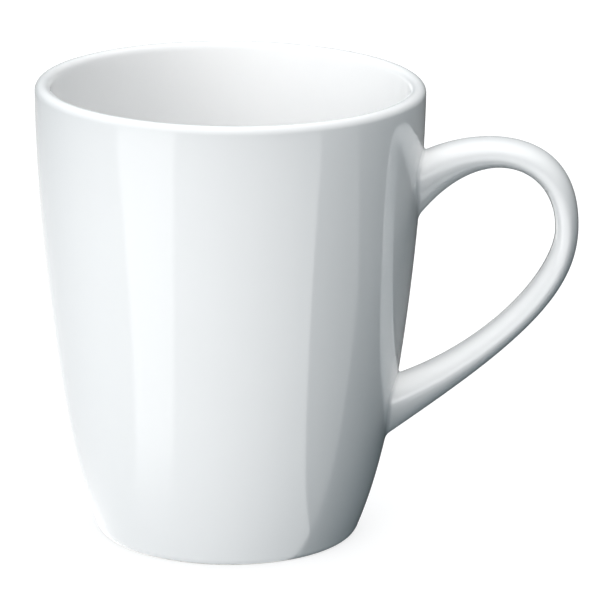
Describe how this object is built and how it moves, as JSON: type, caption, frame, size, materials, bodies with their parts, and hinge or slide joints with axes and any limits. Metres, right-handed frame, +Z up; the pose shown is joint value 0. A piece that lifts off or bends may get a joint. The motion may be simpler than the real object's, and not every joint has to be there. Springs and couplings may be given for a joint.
{
  "type": "mug",
  "caption": "Glossy white ceramic mug with a tapered, round-lipped cup, an ear-shaped strap handle and an unglazed foot ring round a shallow recess.",
  "frame": {"origin": "centre of the foot ring, on the plane of the table the mug stands on", "axes": "+Z up along the cup's axis, +X from the axis towards the handle, +Y across"},
  "size_m": [0.1174, 0.084, 0.1],
  "materials": {
    "clay": "fired fine white stoneware, bare and matt, seen only at the foot ring",
    "slip": "fired joining slip, wiped smooth, under the glaze",
    "glaze": "glossy cool white glaze with soft pooling and a very faint ripple"
  },
  "bodies": {
    "root": {"cup_body": "clay", "handle": "clay", "upper_slip_joint": "slip", "lower_slip_joint": "slip", "cup_glaze": "glaze", "handle_glaze": "glaze", "recess_glaze": "glaze"}
  },
  "joints": []
}
